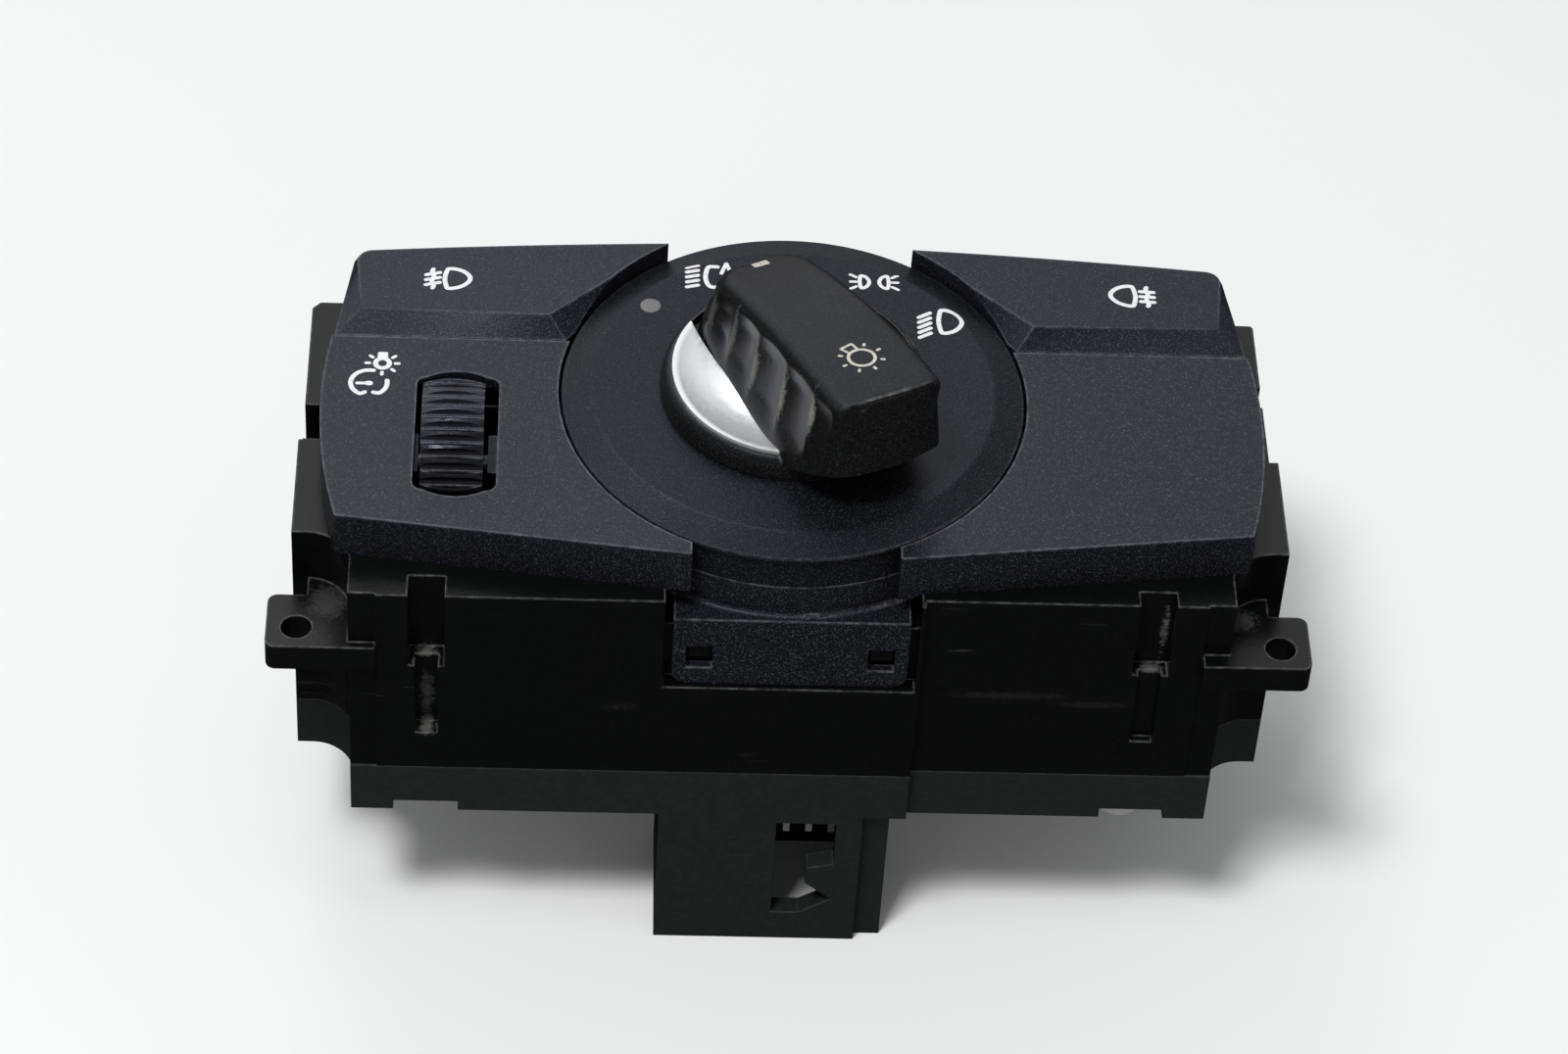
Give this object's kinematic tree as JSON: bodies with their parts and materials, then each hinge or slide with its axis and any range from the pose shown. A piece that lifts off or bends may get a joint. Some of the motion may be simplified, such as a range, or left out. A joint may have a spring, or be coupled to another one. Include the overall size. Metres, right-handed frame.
{
  "type": "headlight switch",
  "caption": "Car dashboard headlight switch: turn knob with grip bar on a round dial, fog-lamp push buttons, dimmer thumbwheel, deep black housing with ears and a plug shroud.",
  "frame": {"origin": "midway between the screw holes of the two mounting ears, on the ears' upper face", "axes": "+Z out of the control face towards the driver, +X to the driver's right along the face, +Y to the face's upper edge"},
  "size_m": [0.1548, 0.0723, 0.1075],
  "materials": {
    "panel": "soft-touch satin with a fine sparkle",
    "knob_black": "soft-touch satin",
    "silver_trim": "satin silver paint",
    "wheel_rubber": "satin",
    "housing_black": "moulded semi-gloss",
    "inner_plastic": "moulded satin",
    "steel": "zinc plated",
    "tinned_pins": "tinned",
    "clear_guide": "clear polished",
    "dome_silicone": "silicone",
    "board": "solder resist",
    "lamp_white": "satin white"
  },
  "bodies": {
    "housing": {"front_panel": "panel", "dial_plate": "panel", "housing": "housing_black", "rear_cover": "housing_black", "cover_screws": "steel", "connector_pins": "tinned_pins", "switch_drum": "inner_plastic", "detent_plunger": "steel", "detent_spring": "steel", "drum_screws": "steel", "dial_light_guide": "clear_guide", "front_fog_dome": "dome_silicone", "rear_fog_dome": "dome_silicone", "dimmer_potentiometer": "inner_plastic", "dimmer_leads": "tinned_pins", "circuit_board": "board", "board_parts": "housing_black", "signal_lamps": "lamp_white", "board_screws": "steel", "pin_header": "housing_black"},
    "knob": {"knob_grip": "knob_black", "knob_trim_left": "silver_trim", "knob_trim_right": "silver_trim", "knob_shaft": "inner_plastic", "knob_light_guide": "clear_guide", "contact_wiper": "tinned_pins"},
    "front_fog": {"front_fog_button": "panel", "front_fog_plunger": "inner_plastic"},
    "rear_fog": {"rear_fog_button": "panel", "rear_fog_plunger": "inner_plastic"},
    "dimmer": {"dimmer_wheel": "wheel_rubber"}
  },
  "joints": [
    {"name": "knob_turn", "type": "hinge", "parent": "housing", "child": "knob", "pos_m": [0, 0.0332, 0.0182], "axis": [0, 0, 1], "range_deg": [-80.7, 26.9]},
    {"name": "front_fog_push", "type": "slide", "parent": "housing", "child": "front_fog", "axis": [0, 0, -1], "range_m": [0, 0.0018], "stiffness_N_per_m": 900, "deforming": ["front_fog_dome"]},
    {"name": "rear_fog_push", "type": "slide", "parent": "housing", "child": "rear_fog", "axis": [0, 0, -1], "range_m": [0, 0.0018], "stiffness_N_per_m": 900, "deforming": ["rear_fog_dome"]},
    {"name": "dimmer_turn", "type": "hinge", "parent": "housing", "child": "dimmer", "pos_m": [-0.0506, 0.023, 0.0114], "axis": [1, 0, 0], "range_deg": [-140, 140]}
  ]
}
